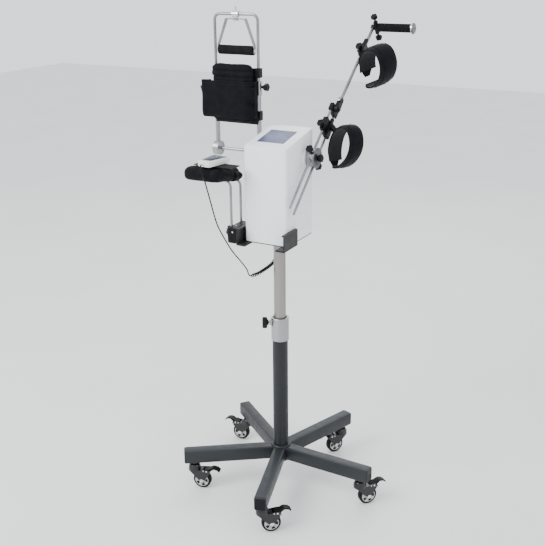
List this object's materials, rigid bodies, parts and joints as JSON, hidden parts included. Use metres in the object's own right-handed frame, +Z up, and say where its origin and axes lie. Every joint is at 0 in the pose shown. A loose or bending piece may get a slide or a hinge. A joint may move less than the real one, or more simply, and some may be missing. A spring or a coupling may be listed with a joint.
{
  "type": "continuous passive motion machine",
  "caption": "Upright motorised shoulder and elbow exerciser: boxy drive head on a telescopic column with a wheeled star base, cuffed arm with a hand grip, padded elbow frame and handset.",
  "frame": {"origin": "on the floor, under the middle of the object's footprint box", "axes": "+Z up; the housing's front faces -Y; the shoulder arm is on the +X side and the elbow frame on the -X side"},
  "size_m": [0.6806, 0.7966, 1.545],
  "materials": {
    "charcoal_paint": "satin",
    "pole_steel": "satin",
    "steel": "satin",
    "silver_alloy": "satin",
    "black_plastic": "matte",
    "white_shell": "satin",
    "screen": "gloss",
    "wheel_rubber": "matte",
    "foam": "matte",
    "black_fabric": "matte",
    "cord_rubber": "satin",
    "drive_metal": "satin"
  },
  "bodies": {
    "stand": {"base_star": "charcoal_paint", "column_tube": "charcoal_paint", "column_collar": "silver_alloy"},
    "mast": {"pole": "pole_steel"},
    "head": {"housing_shell": "white_shell", "base_plate": "black_plastic", "screen_panel": "screen", "drive_unit": "drive_metal", "support_clamp": "black_plastic", "cord_coil": "cord_rubber", "cord_plug": "black_plastic"},
    "shoulder_output": {"shoulder_hub": "silver_alloy"},
    "elbow_frame": {"elbow_shaft": "silver_alloy", "sleeve_frame": "silver_alloy", "forearm_cushion": "black_fabric", "cushion_strap": "black_fabric"},
    "arm_rods": {"arm_rod_front": "steel", "arm_rod_back": "steel", "elbow_knuckle": "black_plastic"},
    "forearm": {"forearm_rod": "steel"},
    "sliding_frame": {"slide_frame": "steel", "stirrup_clamp": "steel"},
    "arm_cuff_carriage": {"arm_cuff_saddle": "black_plastic"},
    "forearm_cuff_carriage": {"forearm_cuff_saddle": "black_plastic"},
    "arm_cuff_band": {"arm_cuff": "black_fabric"},
    "forearm_cuff_band": {"forearm_cuff": "black_fabric"},
    "hand_holder": {"hand_clamp": "black_plastic", "grip_rod": "steel"},
    "hand_sleeve": {"hand_grip": "foam"},
    "stirrup_frame": {"stirrup": "steel"},
    "stirrup_sleeve": {"stirrup_grip": "foam"},
    "arm_support": {"support_tubes": "steel", "arm_pad": "black_fabric", "handset": "white_shell", "cord_lead": "cord_rubber"},
    "brake_pedal_1": {"brake_pedal_1": "black_plastic"},
    "caster_1": {"caster_fork_1": "black_plastic"},
    "wheel_1": {"caster_wheel_1": "wheel_rubber"},
    "brake_pedal_2": {"brake_pedal_2": "black_plastic"},
    "caster_2": {"caster_fork_2": "black_plastic"},
    "wheel_2": {"caster_wheel_2": "wheel_rubber"},
    "brake_pedal_3": {"brake_pedal_3": "black_plastic"},
    "caster_3": {"caster_fork_3": "black_plastic"},
    "wheel_3": {"caster_wheel_3": "wheel_rubber"},
    "brake_pedal_4": {"brake_pedal_4": "black_plastic"},
    "caster_4": {"caster_fork_4": "black_plastic"},
    "wheel_4": {"caster_wheel_4": "wheel_rubber"},
    "brake_pedal_5": {"brake_pedal_5": "black_plastic"},
    "caster_5": {"caster_fork_5": "black_plastic"},
    "wheel_5": {"caster_wheel_5": "wheel_rubber"},
    "collar_knob": {"collar_knob": "black_plastic"},
    "hub_end_knob": {"hub_end_knob": "black_plastic"},
    "hub_knob_front": {"hub_knob_front": "black_plastic"},
    "hub_knob_back": {"hub_knob_back": "black_plastic"},
    "arm_cuff_knob": {"arm_cuff_knob": "black_plastic"},
    "forearm_cuff_knob": {"forearm_cuff_knob": "black_plastic"},
    "hand_knob_upper": {"hand_knob_upper": "black_plastic"},
    "hand_knob_lower": {"hand_knob_lower": "black_plastic"},
    "sleeve_knob": {"sleeve_knob": "black_plastic"},
    "support_knob": {"support_knob": "black_plastic"}
  },
  "joints": [
    {"name": "mast_slide", "type": "slide", "parent": "stand", "child": "mast", "axis": [0, 0, 1], "range_m": [-0.1, 0.12]},
    {"name": "head_turn", "type": "hinge", "parent": "mast", "child": "head", "pos_m": [-0.01717, -0.08264, 0.9], "axis": [0, 0, 1], "continuous": true},
    {"name": "shoulder_drive", "type": "hinge", "parent": "head", "child": "shoulder_output", "pos_m": [0.07483, -0.03264, 1.115], "axis": [1, 0, 0], "range_deg": [-102, 78]},
    {"name": "elbow_drive", "type": "hinge", "parent": "head", "child": "elbow_frame", "pos_m": [-0.18567, -0.03264, 1.115], "axis": [1, 0, 0], "range_deg": [-90, 25]},
    {"name": "arm_rod_slide", "type": "slide", "parent": "shoulder_output", "child": "arm_rods", "axis": [0, 0.7431, 0.6691], "range_m": [-0.02, 0.06]},
    {"name": "forearm_bend", "type": "hinge", "parent": "arm_rods", "child": "forearm", "pos_m": [0.08883, 0.09577, 1.24139], "axis": [1, 0, 0], "range_deg": [-30, 90]},
    {"name": "frame_slide", "type": "slide", "parent": "elbow_frame", "child": "sliding_frame", "axis": [0, 0, 1], "range_m": [0, 0.08]},
    {"name": "arm_cuff_slide", "type": "slide", "parent": "arm_rods", "child": "arm_cuff_carriage", "axis": [0, 0.7431, 0.6691], "range_m": [-0.014, 0.008]},
    {"name": "forearm_cuff_slide", "type": "slide", "parent": "forearm", "child": "forearm_cuff_carriage", "axis": [0, 0.7716, 0.6361], "range_m": [-0.06, 0.04]},
    {"name": "arm_cuff_swivel", "type": "hinge", "parent": "arm_cuff_carriage", "child": "arm_cuff_band", "pos_m": [0.10631, 0.05214, 1.18068], "axis": [0.7485, -0.4062, -0.5241], "range_deg": [-30, 30]},
    {"name": "forearm_cuff_swivel", "type": "hinge", "parent": "forearm_cuff_carriage", "child": "forearm_cuff_band", "pos_m": [0.10489, 0.26236, 1.38806], "axis": [0.8364, -0.3072, -0.454], "range_deg": [-22, 30]},
    {"name": "hand_clamp_turn", "type": "hinge", "parent": "forearm", "child": "hand_holder", "pos_m": [0.08883, 0.3643, 1.46274], "axis": [1, 0, 0], "range_deg": [-40, 40]},
    {"name": "hand_grip_spin", "type": "hinge", "parent": "hand_holder", "child": "hand_sleeve", "pos_m": [0.14883, 0.3643, 1.46274], "axis": [1, 0, 0], "continuous": true},
    {"name": "stirrup_turn", "type": "hinge", "parent": "sliding_frame", "child": "stirrup_frame", "pos_m": [-0.18567, -0.03264, 1.508], "axis": [0, 0, 1], "range_deg": [-90, 90]},
    {"name": "stirrup_grip_spin", "type": "hinge", "parent": "stirrup_frame", "child": "stirrup_sleeve", "pos_m": [-0.18567, -0.03264, 1.418], "axis": [1, 0, 0], "continuous": true},
    {"name": "support_slide", "type": "slide", "parent": "head", "child": "arm_support", "axis": [0, 0, 1], "range_m": [0, 0.03]},
    {"name": "brake_pedal_1_press", "type": "hinge", "parent": "caster_1", "child": "brake_pedal_1", "pos_m": [0.3037, -0.05429, 0.067], "axis": [-0.766, 0.6428, 0], "range_deg": [0, 10]},
    {"name": "brake_pedal_2_press", "type": "hinge", "parent": "caster_2", "child": "brake_pedal_2", "pos_m": [0.05305, 0.15625, 0.067], "axis": [0.8192, -0.5736, 0], "range_deg": [0, 10]},
    {"name": "brake_pedal_3_press", "type": "hinge", "parent": "caster_3", "child": "brake_pedal_3", "pos_m": [-0.29458, 0.08998, 0.067], "axis": [0.0872, -0.9962, 0], "range_deg": [0, 10]},
    {"name": "brake_pedal_4_press", "type": "hinge", "parent": "caster_4", "child": "brake_pedal_4", "pos_m": [-0.21347, -0.23764, 0.067], "axis": [-0.2588, 0.9659, 0], "range_deg": [0, 10]},
    {"name": "brake_pedal_5_press", "type": "hinge", "parent": "caster_5", "child": "brake_pedal_5", "pos_m": [0.1017, -0.33325, 0.067], "axis": [-0.6428, 0.766, 0], "range_deg": [0, 10]},
    {"name": "caster_1_swivel", "type": "hinge", "parent": "stand", "child": "caster_1", "pos_m": [0.27477, -0.08876, 0.09], "axis": [0, 0, 1], "continuous": true},
    {"name": "caster_2_swivel", "type": "hinge", "parent": "stand", "child": "caster_2", "pos_m": [0.07886, 0.19312, 0.09], "axis": [0, 0, 1], "continuous": true},
    {"name": "caster_3_swivel", "type": "hinge", "parent": "stand", "child": "caster_3", "pos_m": [-0.24975, 0.0939, 0.09], "axis": [0, 0, 1], "continuous": true},
    {"name": "caster_4_swivel", "type": "hinge", "parent": "stand", "child": "caster_4", "pos_m": [-0.25694, -0.24929, 0.09], "axis": [0, 0, 1], "continuous": true},
    {"name": "caster_5_swivel", "type": "hinge", "parent": "stand", "child": "caster_5", "pos_m": [0.06723, -0.36218, 0.09], "axis": [0, 0, 1], "continuous": true},
    {"name": "wheel_1_roll", "type": "hinge", "parent": "caster_1", "child": "wheel_1", "pos_m": [0.29213, -0.06807, 0.03062], "axis": [-0.766, 0.6428, 0], "continuous": true},
    {"name": "wheel_2_roll", "type": "hinge", "parent": "caster_2", "child": "wheel_2", "pos_m": [0.06338, 0.171, 0.03062], "axis": [0.8192, -0.5736, 0], "continuous": true},
    {"name": "wheel_3_roll", "type": "hinge", "parent": "caster_3", "child": "wheel_3", "pos_m": [-0.27665, 0.09155, 0.03062], "axis": [0.0872, -0.9962, 0], "continuous": true},
    {"name": "wheel_4_roll", "type": "hinge", "parent": "caster_4", "child": "wheel_4", "pos_m": [-0.23086, -0.2423, 0.03062], "axis": [-0.2588, 0.9659, 0], "continuous": true},
    {"name": "wheel_5_roll", "type": "hinge", "parent": "caster_5", "child": "wheel_5", "pos_m": [0.08791, -0.34482, 0.03062], "axis": [-0.6428, 0.766, 0], "continuous": true},
    {"name": "collar_knob_turn", "type": "hinge", "parent": "stand", "child": "collar_knob", "pos_m": [-0.05303, -0.10252, 0.583], "axis": [-0.8746, -0.4848, 0], "range_deg": [0, 180]},
    {"name": "hub_end_knob_turn", "type": "hinge", "parent": "shoulder_output", "child": "hub_end_knob", "pos_m": [0.09283, -0.03264, 1.115], "axis": [1, 0, 0], "range_deg": [0, 180]},
    {"name": "hub_knob_front_turn", "type": "hinge", "parent": "shoulder_output", "child": "hub_knob_front", "pos_m": [0.07483, -0.05807, 1.14324], "axis": [0, -0.6691, 0.7431], "range_deg": [0, 180]},
    {"name": "hub_knob_back_turn", "type": "hinge", "parent": "shoulder_output", "child": "hub_knob_back", "pos_m": [0.07483, -0.00722, 1.08676], "axis": [0, 0.6691, -0.7431], "range_deg": [0, 180]},
    {"name": "arm_cuff_knob_turn", "type": "hinge", "parent": "arm_cuff_carriage", "child": "arm_cuff_knob", "pos_m": [0.07483, 0.0161, 1.20733], "axis": [0, -0.6691, 0.7431], "range_deg": [0, 180]},
    {"name": "forearm_cuff_knob_turn", "type": "hinge", "parent": "forearm_cuff_carriage", "child": "forearm_cuff_knob", "pos_m": [0.08883, 0.25825, 1.40902], "axis": [0, -0.6361, 0.7716], "range_deg": [0, 180]},
    {"name": "hand_knob_upper_turn", "type": "hinge", "parent": "hand_holder", "child": "hand_knob_upper", "pos_m": [0.10013, 0.34525, 1.49151], "axis": [0, -0.5519, 0.8339], "range_deg": [0, 180]},
    {"name": "hand_knob_lower_turn", "type": "hinge", "parent": "hand_holder", "child": "hand_knob_lower", "pos_m": [0.10013, 0.38334, 1.43397], "axis": [0, 0.5519, -0.8339], "range_deg": [0, 180]},
    {"name": "sleeve_knob_turn", "type": "hinge", "parent": "elbow_frame", "child": "sleeve_knob", "pos_m": [-0.09017, -0.03264, 1.313], "axis": [1, 0, 0], "range_deg": [0, 180]},
    {"name": "support_knob_turn", "type": "hinge", "parent": "head", "child": "support_knob", "pos_m": [-0.13817, -0.16264, 0.892], "axis": [-1, 0, 0], "range_deg": [0, 180]}
  ]
}
